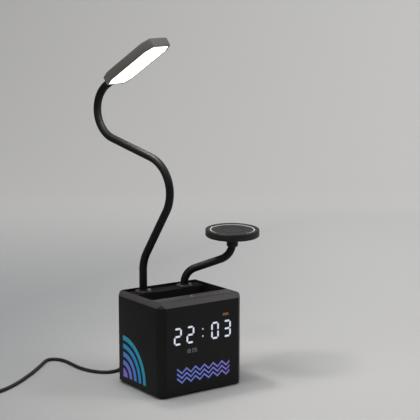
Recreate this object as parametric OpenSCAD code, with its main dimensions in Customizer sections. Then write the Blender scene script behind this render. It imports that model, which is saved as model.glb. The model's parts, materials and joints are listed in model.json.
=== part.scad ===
// Pen-holder desk lamp: a cube with a clock face, an LED lamp on a long
// gooseneck and a charging pad on a short one, fed by a cord at the back.
// Origin: middle of the footprint, on the table. The clock face looks to -Y.

/* [Body] */
// Width of the cube
body_w = 100; // [92:1:120]
// Depth of the cube, front to back
body_d = 84; // [82:1:110]
// Height of the cube on its feet
body_h = 95; // [88:1:120]
// Flat cut off each upright edge
corner_cut = 7; // [4:0.5:9]
// Bevel round the top edge
top_cut = 5; // [3:0.5:7]
// Bevel round the bottom edge
base_cut = 3; // [1:0.5:4]
// Wall of the housing
wall = 2.4; // [1.8:0.1:3]
// How far the rubber grip pad stands out under the base plate
foot_h = 1; // [0.5:0.1:2]

/* [Deck and pen well] */
// Depth of the flat touch rim behind the front bevel
rim_d = 16; // [12:0.5:20]
// Depth of the ledge that carries the two necks
ledge_d = 18; // [17.5:0.5:24]
// How far the ledge lies below the rim
ledge_drop = 3; // [1.5:0.5:5]
// Wall of the pen well
well_wall = 1.6; // [1.2:0.1:2.4]
// Thickness of the deck, its ledge and the well floor
deck_t = 2.5; // [2:0.1:3]
// Corner radius inside the well
well_r = 3; // [2:0.5:6]

/* [Clock face] */
// Thickness of the smoked face panel
panel_t = 2.4; // [1.8:0.1:2.6]
// Width of a large numeral
digit_w = 9.2; // [8:0.1:11]
// Height of a large numeral
digit_h = 17.2; // [15:0.1:22]
// Width of one lit bar
bar_w = 1.9; // [1.6:0.1:2.4]
// Distance between neighbouring numerals
digit_pitch = 14.7; // [14:0.1:16]
// Height of the middle of the numerals
digit_z = 60.8; // [50:0.2:66]

/* [Lamp neck] */
// Distance of each neck from the middle plane
neck_x = 25; // [20:0.5:28]
// Outer diameter of the soft sleeve
sleeve_d = 8; // [7:0.1:9]
// Wall of the soft sleeve
sleeve_wall = 1.2; // [0.9:0.1:1.5]
// Direction in which the lamp neck leans, from +X
lamp_heading = -75; // [-100:1:-50]
// First upright stretch of the lamp neck
lamp_rise = 22; // [15:1:35]
// Radius of the first, gentle bend
lean_r = 37; // [30:1:60]
// Angle of the first bend
lean_angle = 31; // [20:1:40]
// Straight stretch up to the back bend
lamp_front = 51; // [40:1:70]
// Radius of the back bend
back_r = 36; // [28:1:45]
// Angle of the back bend
back_angle = 104; // [90:1:110]
// Straight stretch behind the back bend
lamp_back = 54.5; // [40:0.5:70]
// Radius of the bend below the head
hook_r = 30; // [24:1:40]
// Angle of the bend below the head
hook_angle = 132; // [120:1:140]
// Straight end of the neck at the head
lamp_end = 10; // [6:0.5:15]

/* [Lamp head] */
// Length of the head
head_l = 74; // [60:1:100]
// Width of the head
head_w = 33; // [28:1:50]
// Thickness of the head
head_t = 10; // [9.5:0.1:13]
// Corner cut of the head, along its length
head_cut_l = 9; // [6:0.5:12]
// Corner cut of the head, across its width
head_cut_w = 4; // [2:0.5:6]
// Wall of the head cover
head_wall = 1.5; // [1.2:0.1:1.5]
// Width of the dark rim round the light panel
head_rim = 1.6; // [1.4:0.1:3]
// Turn of the head on its neck
head_roll = 3; // [-10:1:10]

/* [Charging pad] */
// Direction in which the pad arm reaches, from +X
pad_heading = -30; // [-60:1:0]
// First upright stretch of the pad arm
pad_rise = 3.2; // [3.2:0.2:10]
// Radius of the lower bend
elbow_r = 16.5; // [14:0.5:24]
// Angle of both bends of the arm
elbow_angle = 72; // [50:1:80]
// Straight stretch of the arm
pad_reach = 28; // [18:0.5:40]
// Radius of the upper bend
wrist_r = 17.5; // [14:0.5:24]
// Diameter of the pad
pad_d = 56; // [50:1:70]
// Thickness of the pad
pad_t = 7.4; // [7:0.1:9]
// Width of the pad's raised rim
pad_rim = 4.6; // [4:0.1:6]
// Lean of the pad towards the user
pad_lean = 4; // [0:1:6]
// Diameter of the hub under the pad
hub_d = 12; // [11.5:0.1:15]
// Length of the hub
hub_l = 11.4; // [10:0.1:14]

/* [Buttons] */
// Diameter of the three setting buttons on the back
button_d = 5; // [4:0.1:6]
// How far a button stands out of the back
button_out = 1.2; // [1:0.1:2]
// How far a button can be pressed
button_travel = 0.8; // [0.5:0.1:0.9]

/* [Cord] */
// Diameter of the cord
cord_d = 3.5; // [3.2:0.1:3.5]
// Turns in each layer of the stored coil before it reverses
coil_turns = 2.75; // [2.25:0.25:3]

/* [Hidden] */
$fn = 64;
// clearances between pieces
slip = 0.1;
run_gap = 0.06;
soft_gap = 0.3;
eps = 0.01;
lap = 0.3;
lap_step = 0.02;
big = 400;

half_w = body_w / 2;
half_d = body_d / 2;
base_z = foot_h;
plate_t = 2.4;
plate_top = base_z + plate_t;
shelf_t = 1;
deck_z = body_h - top_cut;
wall_z = base_z + base_cut;
ledge_z = body_h - ledge_drop;
ledge_under = ledge_z - deck_t;

// pen well
well_x = half_w - top_cut;
well_front = -half_d + top_cut + rim_d;
ledge_back = half_d - top_cut;
well_back = ledge_back - ledge_d;
ballast_t = 2.4;
well_under = plate_top + ballast_t + 0.2;
well_floor = well_under + deck_t;

// screw posts and grip pad
post_r = 3.4;
post_x = half_w - base_cut - wall - 5.1;
post_y = half_d - base_cut - wall - 5.6;
screw_r = 1.25;
screw_l = 11;
screw_head_r = 2.5;
screw_head_h = 1.2;
grip_set = 0.6;
grip_w = 2 * (post_x - screw_head_r - 1.5);
grip_d = 2 * (post_y - screw_head_r - 1);

// face panel
panel_w = body_w - 2 * corner_cut;
panel_h = deck_z - wall_z;
panel_back = -half_d + panel_t;
frame_t = 2;
frame_in = 3.5;
board_y = panel_back + frame_t + 2.2;
board_t = 1.6;
digit_mid = -0.4;
digit_x = [for (k = [-2, -1, 1, 2]) digit_mid + k * digit_pitch];
digit_shown = [2, 2, 0, 3];
bar_gap = 0.5;
bar_slip = 0.05;
dot_r = 0.9;
dot_lift = 3.6;
// windows for the small figures: below the second numeral and above the last one
date_x = digit_x[1] + 1.1;
date_drop = 16;
date_z = digit_z - date_drop;
date_w = 15;
date_h = 5;
day_x = digit_x[3] - 1.6;
day_rise = 14.8;
day_z = digit_z + day_rise;
day_w = 8.4;
day_h = 4.2;
// the board fits between the two front screw posts and spans both windows
post_room = 2.6;
board_rim = 0.8;
clock_board_w = 2 * (post_x - post_room);
clock_board_low = date_z - date_h / 2 - board_rim;
clock_board_high = day_z + day_h / 2 + 3 * board_rim;
peg_r = 1;
peg_x = clock_board_w / 2 - 2.4 * peg_r;
peg_z = 15;
// lit bars of 0, 1, 2 and 3: top, upper right, lower right, bottom, lower left, upper left, middle
lit_bars = [
    [1, 1, 1, 1, 1, 1, 0],
    [0, 1, 1, 0, 0, 0, 0],
    [1, 1, 0, 1, 1, 0, 1],
    [1, 1, 1, 1, 0, 0, 1]
];

// touch rim
key_x = half_w - top_cut - 5;
key_y = (-half_d + top_cut + well_front) / 2;
key_r = 4;
key_line = 0.8;
key_deep = 0.6;
touch_t = 1.2;
touch_left = -30;
status_x = -3;
status_y = -27;
status_r = 0.6;

// circuit board and inlet at the back
inlet_x = -5;
pcb_t = 1.6;
pcb_lift = 3.9;
pcb_z = plate_top + pcb_lift;
pcb_top = pcb_z + pcb_t;
pcb_post_r = 2.2;
cell_r = 6.25;
back_room = half_d - wall;
socket_w = 9;
socket_t = 3.2;
socket_l = 7;
inlet_z = pcb_top + socket_t / 2;
tongue_w = 8.2;
tongue_t = 2.3;
plug_w = 11;
plug_t = 6;
plug_l = 14;
relief_l = 8;

// setting buttons, their board beside the right rear post, and the main board beside that
button_z = 30;
button_pitch = 7;
post_gap = 1.1;
button_side = 4;
button_x = [for (k = [2, 1, 0]) post_x - post_r - post_gap - button_side - k * button_pitch];
button_board_left = button_x[0] - button_side - 1;
pcb_right = button_board_left - 2;
pcb_left = -post_x + post_r + 4.1;
cell_x = pcb_left + cell_r + 3.75;
cell_back = 8;
button_flange = 0.8;
pin_r = 1;
switch_w = 6;
switch_t = 3.4;
button_board_y = half_d - wall - button_flange - button_travel - switch_t - 1;

// neck seats
neck_y = ledge_back - ledge_d / 2;
sleeve_r = sleeve_d / 2;
conduit_r = sleeve_r - sleeve_wall - soft_gap - lap_step;
barrel_r = 6;
barrel_l = 12;
flange_r = 8.5;
flange_h = 1.6;
spindle_r = 4;
cap_r = 4.9;
cap_h = 1;
nut_h = 4;
seat_x = 7.2;
seat_screw_r = 0.7;
conduit_seat = 8;
neck_base = flange_h + slip + cap_h + slip;

// runs of tube: [length, 0] is straight, [radius, angle] is a bend
lamp_link_1 = [[lamp_rise + conduit_seat, 0], [lean_r, lean_angle / 2]];
lamp_link_2 = [[lean_r, lean_angle / 2], [lamp_front, 0], [back_r, -back_angle / 2]];
lamp_link_3 = [[back_r, -back_angle / 2], [lamp_back, 0], [hook_r, hook_angle / 2]];
ferrule_l = 11;
lamp_link_4 = [[hook_r, hook_angle / 2], [lamp_end + ferrule_l, 0]];
lamp_skin = [
    [lamp_rise - neck_base, 0],
    [lean_r, lean_angle],
    [lamp_front, 0],
    [back_r, -back_angle],
    [lamp_back, 0],
    [hook_r, hook_angle],
    [lamp_end - soft_gap, 0]
];
to_lean = [[lamp_rise, 0], [lean_r, lean_angle / 2]];
to_back = concat(to_lean, lamp_link_2);
to_hook = concat(to_back, lamp_link_3);
to_head = concat(to_hook, [[hook_r, hook_angle / 2], [lamp_end, 0]]);

pad_end = 1.2;
hub_in = 4.8;
pad_link_1 = [[pad_rise + conduit_seat, 0], [elbow_r, elbow_angle / 2]];
pad_link_2 = [[elbow_r, elbow_angle / 2], [pad_reach, 0], [wrist_r, -elbow_angle / 2]];
pad_link_3 = [[wrist_r, -elbow_angle / 2], [pad_end + 3, 0]];
pad_skin = [
    [pad_rise - neck_base, 0],
    [elbow_r, elbow_angle],
    [pad_reach, 0],
    [wrist_r, -elbow_angle],
    [pad_end - soft_gap, 0]
];
to_elbow = [[pad_rise, 0], [elbow_r, elbow_angle / 2]];
to_wrist = concat(to_elbow, pad_link_2);
to_pad = concat(to_wrist, [[wrist_r, -elbow_angle / 2], [pad_end, 0]]);

// lamp head, in its own frame: Z runs along it, X points out of the light panel
head_up = 0.8;
head_top = -head_t / 2 + head_up;
head_under = head_t / 2 + head_up;
frame_h = 1.2;
head_bevel = 1.2;
ferrule_w = 14;
head_screw_r = 0.9;
head_screw_y = 5;
head_screw_z = 6;
led_rows = 3;
led_cols = 9;
led_a = 2;
led_h = 0.6;
led_board_x = 1.6;
led_board_t = 1;
led_board_z = 16;
diffuser_t = 1.3;

// charging pad, from the underside of the dish
dish_r = pad_d / 2;
dish_floor = 1.8;
top_r = dish_r - pad_rim;
step_w = 1.9;
step_z = pad_t - 2.8;
pad_ring_w = 1.05;
pad_ring_h = 2.2;
pad_top_t = 1.6;
find_r = 12;
find_w = 0.8;
find_deep = 0.4;
coil_in_r = 8;
coil_out_r = 20;

// route of the cord from the inlet to the left edge of the table
exit_y = half_d + soft_gap + plug_l + relief_l;
lie = cord_d / 2 + 0.05;
tie_t = 0.6;
coil_lie = lie + tie_t + 0.1;
route = [
    [inlet_x, exit_y, inlet_z],
    [inlet_x, exit_y + 3.5, inlet_z],
    [-7, 73, 9.5],
    [-13, 76, 7.5],
    [-20, 74, 5],
    [-27, 70, 3],
    [-34, 67, 2],
    [-42, 67, lie],
    [-49, 71, lie],
    [-55, 79, lie],
    [-59, 90, lie],
    [-61, 103, lie],
    [-61, 116, lie],
    [-61, 128, lie],
    [-63, 138, lie],
    [-68, 144.5, lie],
    [-75, 145, lie],
    [-82, 139.5, lie],
    [-92, 129, lie],
    [-102, 119, lie],
    [-112, 109.5, lie],
    [-122, 101, lie],
    [-132, 92.5, lie],
    [-142, 85, lie],
    [-152, 78.5, lie],
    [-163, 73, lie + 0.2],
    [-173.4, 69.2, coil_lie],
    [-182.8, 65.8, coil_lie]
];
// stored coil past the left edge, wound clockwise seen from above
coil_dir = 200;
coil_pitch = cord_d + 0.5;
coil_mid_r = 5.5 * cord_d;
coil_out = coil_mid_r + coil_pitch * (coil_turns + 0.25) / 2;
coil_loops = 2 * coil_turns + 0.5;
coil_steps = 24 * coil_loops;
run_in = cord_d;
coil_from = route[len(route) - 1] + run_in * [cos(coil_dir), sin(coil_dir), 0];
coil_c = coil_from + coil_out * [sin(coil_dir), -cos(coil_dir), 0];
function coil_half(t) = min(t, coil_loops - t);
function coil_r(t) = coil_out - coil_pitch * coil_half(t);
function coil_z(t) = coil_pitch * max(0, min(1, (t - coil_turns) / 0.5));
function coil_at(t) =
    let (a = coil_dir + 90 - 360 * t)
    coil_c + [coil_r(t) * cos(a), coil_r(t) * sin(a), coil_z(t)];
coil_end = coil_at(coil_loops);
tail_dir = [cos(coil_dir), sin(coil_dir), 0];
coil_path = concat(
    [route[len(route) - 1]],
    [for (k = [0 : coil_steps]) coil_at(k / 24)],
    [coil_end + run_in * tail_dir]
);
tail_from = coil_end + run_in * tail_dir;
supply_t = 8;
supply_w = 15;
supply_l = 22;
shell_w = 12;
shell_t = 4.5;
shell_l = 14;
supply_z = supply_t / 2 + 0.1;
tail_l = 18;
tail_path = [
    tail_from,
    tail_from + 0.2 * tail_l * tail_dir,
    tail_from + 0.5 * tail_l * tail_dir + [0, 0, -0.6],
    tail_from + 0.8 * tail_l * tail_dir + [0, 0, supply_z - tail_from[2]],
    tail_from + tail_l * tail_dir + [0, 0, supply_z - tail_from[2]]
];
plug_from = tail_path[len(tail_path) - 1];

// least distance between turns that aren't neighbours on the path
function nearest(p, skip) =
    min([for (i = [0 : len(p) - 1 - skip]) min([for (j = [i + skip : len(p) - 1]) norm(p[i] - p[j])])]);
function length_of(p, i = 0) = i >= len(p) - 1 ? 0 : norm(p[i + 1] - p[i]) + length_of(p, i + 1);
echo(least_gap = nearest(coil_path, 8) - cord_d);
echo(cord_length = length_of(route) + length_of(coil_path) + length_of(tail_path));
echo(route_gap = nearest(concat(route, [coil_c]), 4) - cord_d);

// end of a run of tube in its own plane: [reach, height, lean]
function after(path, i = 0, at = [0, 0, 0]) =
    i == len(path) ? at :
    let (a = at[2], seg = path[i], s = sign(seg[1]))
    after(path, i + 1, seg[1] == 0
        ? [at[0] + seg[0] * sin(a), at[1] + seg[0] * cos(a), a]
        : [
            at[0] + s * seg[0] * (cos(a) - cos(a + seg[1])),
            at[1] + s * seg[0] * (sin(a + seg[1]) - sin(a)),
            a + seg[1]
        ]);
function in_world(x, heading, e) =
    [x + e[0] * cos(heading), neck_y + e[0] * sin(heading), ledge_z + e[1]];
echo(lean = in_world(-neck_x, lamp_heading, after(to_lean)));
echo(back = in_world(-neck_x, lamp_heading, after(to_back)));
echo(hook = in_world(-neck_x, lamp_heading, after(to_hook)));
echo(head = in_world(-neck_x, lamp_heading, after(to_head)), after(to_head));
echo(elbow = in_world(neck_x, pad_heading, after(to_elbow)));
echo(wrist = in_world(neck_x, pad_heading, after(to_wrist)));
echo(pad = in_world(neck_x, pad_heading, after(to_pad)), after(to_pad));

// ---- shared shapes ----

// outline with a flat cut at each corner
module cut_rect(w, d, cx, cy) {
    x = w / 2;
    y = d / 2;
    polygon([
        [x - cx, -y], [x, -y + cy], [x, y - cy], [x - cx, y],
        [-x + cx, y], [-x, y - cy], [-x, -y + cy], [-x + cx, -y]
    ]);
}

// slab of the cube's outline, drawn in by inset
module body_slab(inset, z0, z1) {
    cut = max(corner_cut - inset * (2 - sqrt(2)), 0.5);
    translate([0, 0, z0])
        linear_extrude(z1 - z0)
            cut_rect(body_w - 2 * inset, body_d - 2 * inset, cut, cut);
}

// takes the bevel off the four edges at level z, the top ones for up = 1
module bevels(z, inset, up) {
    for (a = [0 : 90 : 270])
        rotate([0, 0, a])
            translate([0, a % 180 == 0 ? -half_d : -half_w, z - up * inset])
                rotate([up * 45, 0, 0])
                    translate([-big / 2, -big / 4, up > 0 ? 0 : -big]) cube([big, big, big]);
}

module box(low, high) {
    translate(low) cube(high - low);
}

module rounded_rect(w, d, r) {
    square([w - 2 * r, d], center = true);
    square([w, d - 2 * r], center = true);
    for (x = [-1, 1], y = [-1, 1])
        translate([x * (w / 2 - r), y * (d / 2 - r)]) circle(r);
}

module ring(r_out, r_in, h) {
    difference() {
        cylinder(r = r_out, h = h);
        translate([0, 0, -1]) cylinder(r = r_in, h = h + 2);
    }
}

module four(x, y) {
    for (a = [-1, 1], b = [-1, 1]) translate([a * x, b * y, 0]) children();
}

// ---- runs of tube ----

// Straight stretches are a hair thicker than bends and lap into them, so that
// the two kinds of surface never touch along a line.
// carries its children to the end of one stretch
module past(seg) {
    if (seg[1] == 0)
        translate([0, 0, seg[0]]) children();
    else
        translate([sign(seg[1]) * seg[0] * (1 - cos(seg[1])), 0, seg[0] * sin(abs(seg[1]))])
            rotate([0, seg[1], 0])
                children();
}

module stretch_of(seg, r, lap_in, lap_out) {
    if (seg[1] == 0) {
        translate([0, 0, -lap_in]) cylinder(r = r + lap_step, h = seg[0] + lap_in + lap_out);
    } else if (seg[1] > 0) {
        translate([seg[0], 0, 0])
            mirror([1, 0, 0])
                rotate([90, 0, 0])
                    rotate_extrude(angle = seg[1])
                        translate([seg[0], 0]) circle(r);
    } else {
        translate([-seg[0], 0, 0])
            rotate([90, 0, 0])
                rotate_extrude(angle = -seg[1])
                    translate([seg[0], 0]) circle(r);
    }
}

module run_of(path, r, through = 0, i = 0) {
    if (i < len(path)) {
        stretch_of(path[i], r, i == 0 ? through : lap, i == len(path) - 1 ? through : lap);
        past(path[i]) run_of(path, r, through, i + 1);
    }
}

module at_end(path, i = 0) {
    if (i < len(path))
        past(path[i]) at_end(path, i + 1) children();
    else
        children();
}

// one length of conduit: a hollow foot that turns on the ball of the one before
module conduit(path, socket, ball) {
    color("dimgray")
        difference() {
            union() {
                run_of(path, conduit_r);
                if (ball) at_end(path) sphere(conduit_r + 0.04);
            }
            if (socket) sphere(conduit_r + soft_gap);
        }
}

module sleeve(path) {
    color([0.09, 0.09, 0.1])
        difference() {
            run_of(path, sleeve_r - lap_step);
            run_of(path, sleeve_r - sleeve_wall, 1);
        }
}

module lamp_base() {
    translate([-neck_x, neck_y, ledge_z]) rotate([0, 0, lamp_heading]) children();
}

module pad_base() {
    translate([neck_x, neck_y, ledge_z]) rotate([0, 0, pad_heading]) children();
}

module on_head() {
    lamp_base() at_end(to_head) rotate([0, 0, head_roll]) children();
}

module on_hub() {
    pad_base() at_end(to_pad) children();
}

module on_pad() {
    on_hub() translate([0, 0, hub_l - hub_in]) rotate([pad_lean, 0, 0]) children();
}

// ---- cord ----

function unit(v) = v / norm(v);
function heading_at(p, i) =
    unit(i == 0 ? p[1] - p[0] : i == len(p) - 1 ? p[i] - p[i - 1] : unit(p[i + 1] - p[i]) + unit(p[i] - p[i - 1]));
function ring_at(p, i, r, sides) =
    let (t = heading_at(p, i), s = unit(cross(t, [0, 0, 1])), u = cross(s, t))
    [for (k = [0 : sides - 1]) let (a = 360 * k / sides) p[i] + r * (cos(a) * u + sin(a) * s)];

module cord_tube(p, sides) {
    n = len(p);
    points = [for (i = [0 : n - 1]) each ring_at(p, i, cord_d / 2, sides)];
    skin = [
        for (i = [0 : n - 2], k = [0 : sides - 1])
            let (a = i * sides + k, b = i * sides + (k + 1) % sides)
            each [[a, a + sides, b], [b, a + sides, b + sides]]
    ];
    caps = [
        for (k = [1 : sides - 2])
            each [[0, k, k + 1], [(n - 1) * sides, (n - 1) * sides + k + 1, (n - 1) * sides + k]]
    ];
    polyhedron(points, concat(skin, caps), convexity = 8);
}

// ---- cube ----

module housing() {
    color([0.11, 0.11, 0.12])
        difference() {
            body_slab(0, base_z, deck_z);
            bevels(base_z, base_cut, -1);
            difference() {
                body_slab(wall, plate_top + shelf_t, deck_z + 1);
                box([-big, -big, 0], [big, panel_back + frame_t, big]);
            }
            body_slab(base_cut + wall - 0.8, 0, plate_top);
            body_slab(base_cut + wall + 0.7, 0, plate_top + shelf_t + 1);
            // seat and window of the face panel
            box([-panel_w / 2, -half_d - 1, wall_z], [panel_w / 2, panel_back, deck_z + 1]);
            box([-panel_w / 2 + frame_in, -half_d, wall_z + frame_in],
                [panel_w / 2 - frame_in, panel_back + frame_t + 1, deck_z - frame_in]);
            // inlet and button holes
            translate([inlet_x, half_d - wall - 1, inlet_z])
                rotate([-90, 0, 0])
                    linear_extrude(wall + 2) rounded_rect(socket_w + 0.6, socket_t + 0.6, 1.5);
            for (x = button_x)
                translate([x, half_d - wall - 1, button_z])
                    rotate([-90, 0, 0]) cylinder(r = button_d / 2 + slip, h = wall + 2);
        }
}

module bar(n, x, z, grow) {
    long_v = digit_h / 2 - bar_w / 2 - 2 * bar_gap;
    long_h = digit_w - bar_w - 2 * bar_gap;
    side = digit_w / 2 - bar_w / 2;
    rise = digit_h / 4 - bar_w / 4;
    at = [
        [0, digit_h / 2 - bar_w / 2], [side, rise], [side, -rise],
        [0, -digit_h / 2 + bar_w / 2], [-side, -rise], [-side, rise], [0, 0]
    ];
    flat = n == 0 || n == 3 || n == 6;
    l = (flat ? long_h : long_v) + 3 * grow;
    c = bar_w / 2 + grow;
    translate([x + at[n][0], 0, z + at[n][1]])
        rotate([90, flat ? 0 : 90, 0])
            linear_extrude(board_y + half_d + 10 * grow)
                polygon([
                    [-l / 2, 0], [-l / 2 + c, -c], [l / 2 - c, -c],
                    [l / 2, 0], [l / 2 - c, c], [-l / 2 + c, c]
                ]);
}

function shown(d, n) = lit_bars[digit_shown[d]][n] == 1;

module bars(d, lit) {
    translate([0, board_y, 0])
        for (n = [0 : 6])
            if (shown(d, n) == lit) bar(n, digit_x[d], digit_z, 0);
}

module dots() {
    for (s = [-1, 1])
        translate([digit_mid, board_y, digit_z + s * dot_lift])
            rotate([90, 0, 0]) cylinder(r = dot_r, h = board_y + half_d);
}

// block of light guide that carries small figures
module window(x, z, w, h, grow) {
    box([x - w / 2 - grow, -half_d - 10 * grow, z - h / 2 - grow],
        [x + w / 2 + grow, board_y, z + h / 2 + grow]);
}

module date_window() {
    color([0.2, 0.2, 0.22]) window(date_x, date_z, date_w, date_h, 0);
}

module day_window() {
    color([0.3, 0.18, 0.08]) window(day_x, day_z, day_w, day_h, 0);
}

module front_panel() {
    color([0.1, 0.1, 0.11])
        difference() {
            union() {
                box([-panel_w / 2 + slip, -half_d, wall_z], [panel_w / 2 - slip, panel_back, deck_z]);
                for (x = [-1, 1], z = [-1, 1])
                    translate([x * peg_x, panel_back, digit_z + z * peg_z])
                        rotate([-90, 0, 0]) cylinder(r = peg_r, h = board_y - panel_back);
            }
            // slots for the bars, a hair wider than the bars
            translate([0, board_y, 0])
                for (d = [0 : 3], n = [0 : 6]) bar(n, digit_x[d], digit_z, bar_slip);
            for (s = [-1, 1])
                translate([digit_mid, 0, digit_z + s * dot_lift])
                    rotate([90, 0, 0]) cylinder(r = dot_r + bar_slip, h = big);
            window(date_x, date_z, date_w, date_h, bar_slip);
            window(day_x, day_z, day_w, day_h, bar_slip);
        }
}

module pen_well() {
    color([0.13, 0.13, 0.14])
        difference() {
            union() {
                difference() {
                    body_slab(0, deck_z, body_h);
                    bevels(body_h, top_cut, 1);
                }
                // ledge plate and well
                intersection() {
                    box([-well_x - well_wall, well_back, ledge_under],
                        [well_x + well_wall, ledge_back + 1, deck_z + eps]);
                    body_slab(wall + slip, 0, big);
                }
                box([-well_x - well_wall, well_front - well_wall, well_under],
                    [well_x + well_wall, well_back + well_wall, deck_z + eps]);
                // lips that find the housing's side walls
                for (s = [-1, 1])
                    translate([s * (half_w - wall - slip - 0.8), 0, deck_z - 3])
                        translate([-0.8, -post_y + 2, 0]) cube([1.6, 2 * post_y - 4, 3 + eps]);
                four(post_x, post_y) translate([0, 0, plate_top]) cylinder(r = post_r, h = deck_z - plate_top + eps);
            }
            // well and ledge, open above
            translate([0, (well_front + well_back) / 2, well_floor])
                linear_extrude(big) rounded_rect(2 * well_x, well_back - well_front, well_r);
            box([-well_x, well_back - well_r, ledge_z], [well_x, ledge_back, big]);
            // hollow under the touch rim
            difference() {
                box([-well_x, -half_d + top_cut - 1, deck_z - 1],
                    [well_x, well_front - well_wall, body_h - deck_t]);
                four(post_x, post_y) cylinder(r = post_r, h = big);
            }
            four(post_x, post_y)
                translate([0, 0, plate_top - 1]) cylinder(r = screw_r + 0.05, h = screw_l + 2);
            // seats of the two necks
            for (s = [-1, 1])
                translate([s * neck_x, neck_y, 0]) {
                    cylinder(r = barrel_r + 0.05, h = big);
                    translate([seat_x, 0, 0]) cylinder(r = seat_screw_r + 0.05, h = big);
                }
            translate([status_x, status_y, deck_z - 1]) cylinder(r = status_r + 0.05, h = big);
            // groove of the power key
            translate([key_x - 5, key_y, body_h - key_deep])
                ring(key_r + 0.05, key_r - key_line - 0.05, 1);
        }
}

module base_plate() {
    color([0.1, 0.1, 0.1])
        difference() {
            union() {
                body_slab(base_cut + wall - 0.8 + slip, base_z, plate_top);
                for (x = [pcb_left + 4, pcb_right - 4])
                    translate([x, back_room - 9, plate_top]) cylinder(r = pcb_post_r, h = pcb_lift);
            }
            four(post_x, post_y) {
                cylinder(r = screw_r + 0.25, h = big);
                cylinder(r = screw_head_r + slip, h = base_z + screw_head_h + 0.1);
            }
            linear_extrude(base_z + grip_set)
                rounded_rect(grip_w + 2 * slip, grip_d + 2 * slip, 5);
        }
}

module ballast_plate() {
    color("slategray")
        box([-post_x + 6, -post_y - 2, plate_top], [post_x - 6, well_back, plate_top + ballast_t]);
}

module base_screws() {
    color("silver")
        four(post_x, post_y) translate([0, 0, base_z + 0.1]) {
            difference() {
                cylinder(r = screw_head_r, h = screw_head_h);
                translate([-0.3, -1.6, -1]) cube([0.6, 3.2, 1.6]);
                translate([-1.6, -0.3, -1]) cube([3.2, 0.6, 1.6]);
            }
            cylinder(r = screw_r, h = screw_l);
        }
}

module grip_pad() {
    color([0.2, 0.2, 0.2]) {
        linear_extrude(0.4) rounded_rect(grip_w - 0.8, grip_d - 0.8, 4.6);
        translate([0, 0, 0.4])
            linear_extrude(base_z + grip_set - 0.4) rounded_rect(grip_w, grip_d, 5);
    }
}

module main_board() {
    color("darkgreen")
        box([pcb_left, well_back + well_wall + 1, pcb_z], [pcb_right, back_room - 0.4, pcb_top]);
}

module usb_socket() {
    color("silver")
        translate([inlet_x, back_room + wall - 0.6, inlet_z])
            rotate([90, 0, 0])
                difference() {
                    linear_extrude(socket_l) rounded_rect(socket_w, socket_t, 1.4);
                    translate([0, 0, -1])
                        linear_extrude(socket_l)
                            rounded_rect(tongue_w + 0.2, tongue_t + 0.2, 1);
                }
}

module coin_cell() {
    color("silver")
        translate([cell_x, back_room - cell_back, pcb_top]) {
            cylinder(r = cell_r, h = 1.4);
            cylinder(r = cell_r - 1, h = 2);
        }
}

module clock_board() {
    color("darkgreen")
        box([-clock_board_w / 2, board_y, clock_board_low],
            [clock_board_w / 2, board_y + board_t, clock_board_high]);
}

module digit(d) {
    color("white") bars(d, true);
}

module colon_dots() {
    color("white") dots();
}

module dark_bars() {
    color([0.14, 0.14, 0.15]) for (d = [0 : 3]) bars(d, false);
}

module touch_board() {
    color("darkgreen")
        box([touch_left, -half_d + top_cut + 1, body_h - deck_t - touch_t],
            [post_x - post_r - 0.5, well_front - well_wall - 1, body_h - deck_t]);
}

module status_light() {
    color("white")
        translate([status_x, status_y, body_h - deck_t]) cylinder(r = status_r, h = deck_t);
}

module power_key() {
    color("gainsboro")
        translate([key_x - 5, key_y, body_h - key_deep])
            ring(key_r, key_r - key_line, key_deep);
}

// ---- buttons ----

module button_board() {
    color("darkgreen") {
        box([button_board_left, button_board_y - board_t, plate_top],
            [button_x[2] + button_side, button_board_y, button_z + switch_w]);
        for (x = button_x)
            translate([x, button_board_y, button_z])
                rotate([-90, 0, 0])
                    difference() {
                        translate([-switch_w / 2, -switch_w / 2, -eps]) cube([switch_w, switch_w, switch_t]);
                        cylinder(r = pin_r + slip, h = big);
                    }
    }
}

module button(n) {
    flange_y = half_d - wall - button_flange;
    color([0.16, 0.16, 0.17])
        translate([button_x[n], flange_y, button_z])
            rotate([-90, 0, 0]) {
                rotate_extrude()
                    polygon([
                        [0, 0], [button_d / 2 + 0.9, 0], [button_d / 2 + 0.9, button_flange - 0.05],
                        [button_d / 2, button_flange - 0.05],
                        [button_d / 2, button_flange + wall + button_out - 0.4],
                        [button_d / 2 - 0.4, button_flange + wall + button_out],
                        [0, button_flange + wall + button_out]
                    ]);
                translate([0, 0, -button_travel - 1 - switch_t + 1.4])
                    cylinder(r = pin_r, h = button_travel + 1 + switch_t - 1.4 + eps);
            }
}

// ---- neck seats ----

module neck_socket() {
    color([0.3, 0.3, 0.31])
        difference() {
            union() {
                rotate_extrude()
                    polygon([
                        [0, 0], [flange_r, 0], [flange_r, flange_h - 0.5],
                        [flange_r - 0.5, flange_h], [0, flange_h]
                    ]);
                translate([0, 0, -barrel_l]) cylinder(r = barrel_r, h = barrel_l + eps);
            }
            translate([0, 0, -big / 2]) cylinder(r = spindle_r + run_gap, h = big);
            translate([seat_x, 0, -1]) cylinder(r = seat_screw_r + 0.05, h = big);
        }
}

module lamp_socket() {
    translate([-neck_x, neck_y, ledge_z]) neck_socket();
}

module pad_socket() {
    translate([neck_x, neck_y, ledge_z]) neck_socket();
}

module socket_nuts() {
    color("silver")
        for (s = [-1, 1])
            translate([s * neck_x, neck_y, ledge_under - nut_h])
                difference() {
                    cylinder(r = barrel_r + 2.4, h = nut_h, $fn = 6);
                    translate([0, 0, -1]) cylinder(r = barrel_r + 0.02, h = nut_h + 2);
                }
}

module socket_screws() {
    color("silver")
        for (s = [-1, 1])
            translate([s * neck_x + seat_x, neck_y, ledge_z + flange_h]) {
                rotate_extrude()
                    polygon([[0, 0], [1.2, 0], [1.2, 0.3], [0.8, 0.7], [0, 0.7]]);
                translate([0, 0, -flange_h - 2]) cylinder(r = seat_screw_r, h = flange_h + 2 + eps);
            }
}

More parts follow.
